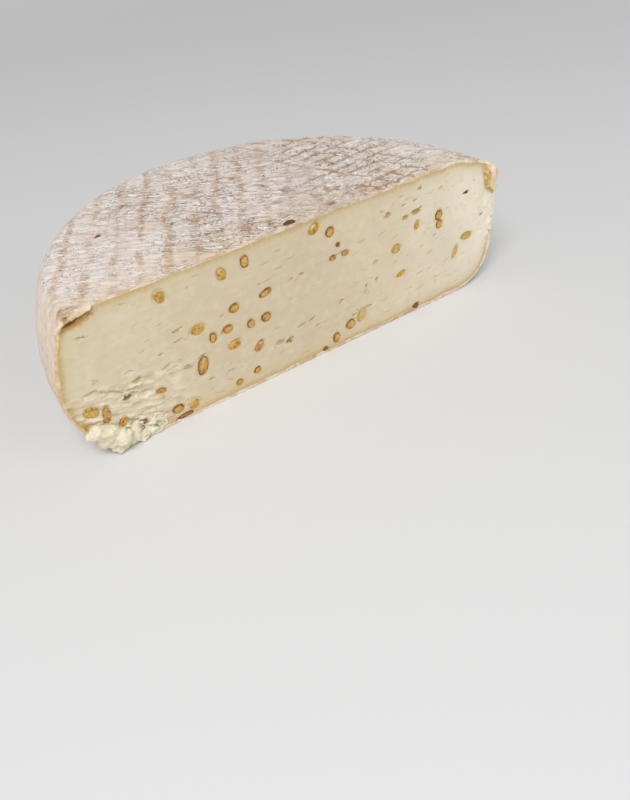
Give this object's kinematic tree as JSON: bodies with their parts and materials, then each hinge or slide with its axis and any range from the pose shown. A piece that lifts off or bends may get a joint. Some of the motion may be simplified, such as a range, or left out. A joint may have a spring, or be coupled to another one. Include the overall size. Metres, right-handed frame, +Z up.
{
  "type": "fenugreek tomme half wheel",
  "caption": "Half of a round semi-firm cheese wheel with a pale cloth-marked rind, cut straight across to show cream paste dotted with fenugreek seeds.",
  "frame": {"origin": "middle of the footprint box, on the surface the half wheel rests on", "axes": "+X along the cut from its left end to its right as one faces the cut, +Y away from the cut towards the round back, +Z up"},
  "size_m": [0.2052, 0.1098, 0.0628],
  "materials": {
    "paste": "cream semi-firm cheese paste, matt with a faint moist sheen, small slits and knife streaks",
    "rind": "dry pinkish white mould rind with a cloth weave imprint, tan where it is rubbed",
    "seed": "golden brown soaked fenugreek seed, satin",
    "curd": "moist white crumbled curd"
  },
  "bodies": {
    "root": {"half_wheel": "paste"}
  },
  "joints": []
}
